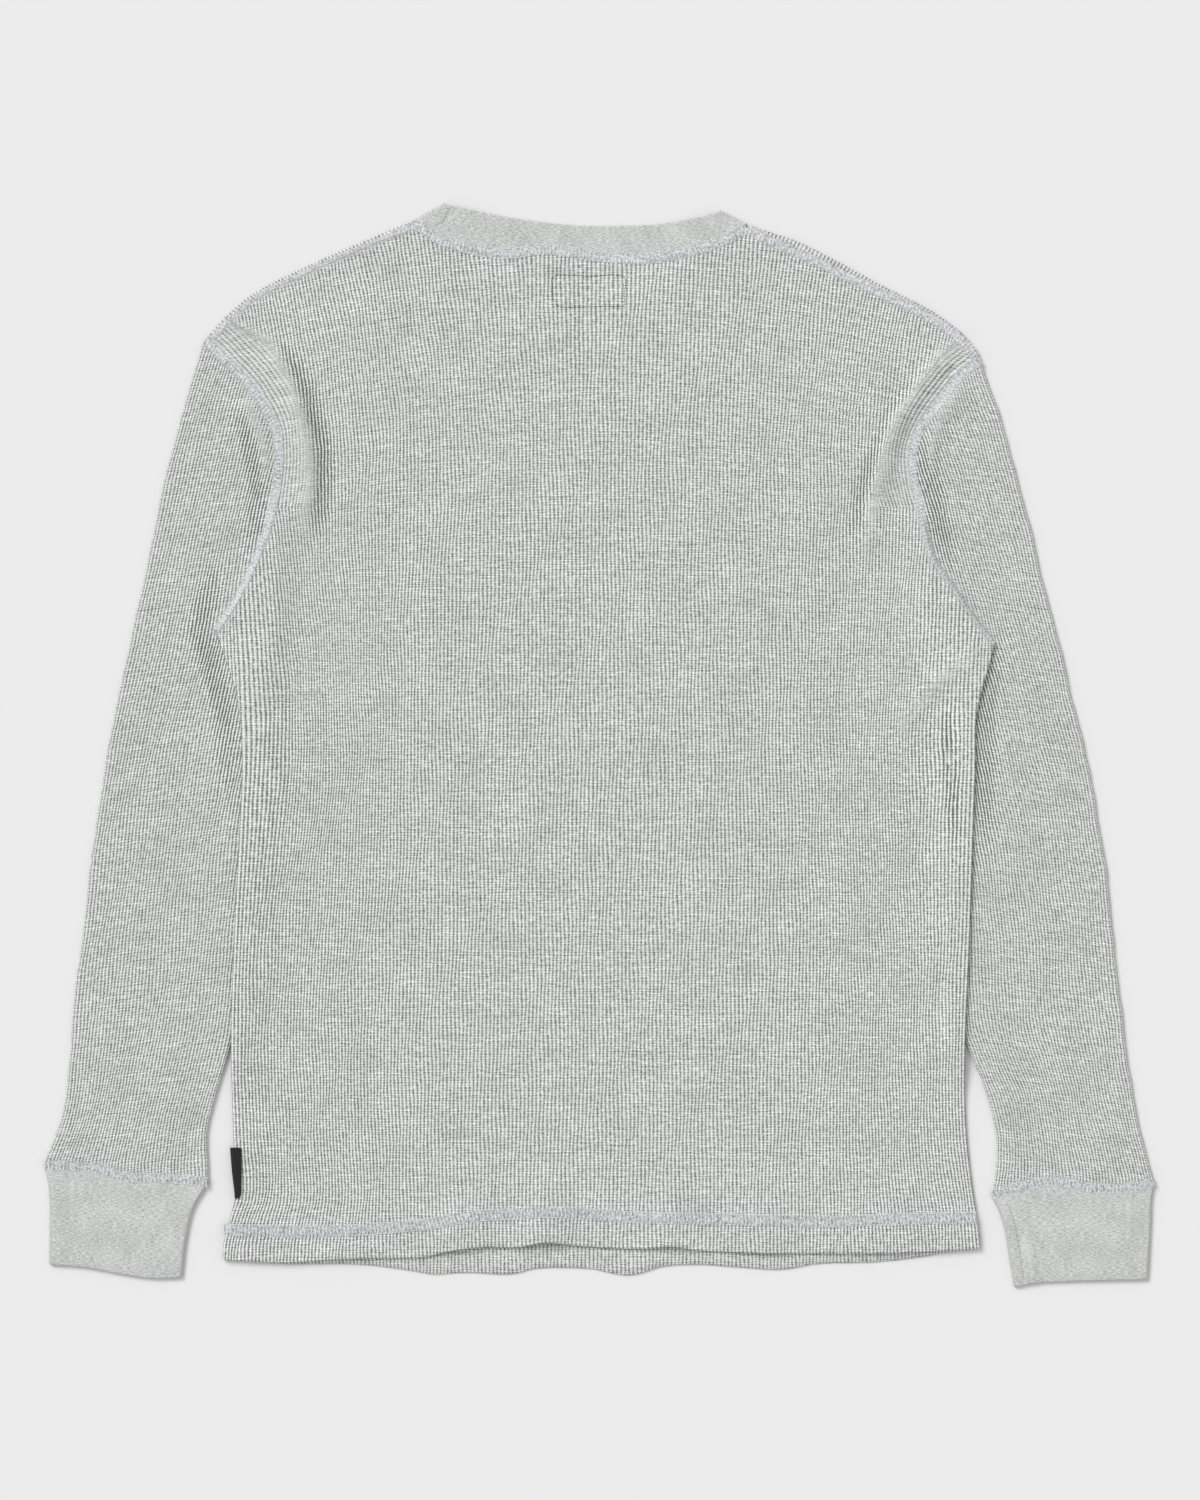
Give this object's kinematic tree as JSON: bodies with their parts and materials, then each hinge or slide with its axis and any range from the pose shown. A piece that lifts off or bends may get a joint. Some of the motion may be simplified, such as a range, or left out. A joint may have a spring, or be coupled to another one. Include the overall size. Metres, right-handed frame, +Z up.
{
  "type": "long-sleeved thermal top",
  "caption": "Waffle-knit long-sleeved thermal top with crew neckband and plain jersey cuffs, laid flat on its front with the back up.",
  "frame": {"origin": "on the floor, under the middle of the garment's bounding box", "axes": "+X towards the wearer's right sleeve, +Y towards the neck, +Z up out of the garment's back"},
  "size_m": [0.7559, 0.7367, 0.0098],
  "materials": {
    "waffle_knit": "heather grey waffle knit, matt",
    "jersey_knit": "heather grey plain jersey, matt",
    "woven_tape": "black woven tape, slight sheen"
  },
  "bodies": {
    "root": {"back_panel": "waffle_knit", "front_panel": "waffle_knit", "sleeve_left": "waffle_knit", "sleeve_right": "waffle_knit", "cuff_left": "jersey_knit", "cuff_right": "jersey_knit", "neckband": "jersey_knit", "side_tab": "woven_tape"}
  },
  "joints": []
}
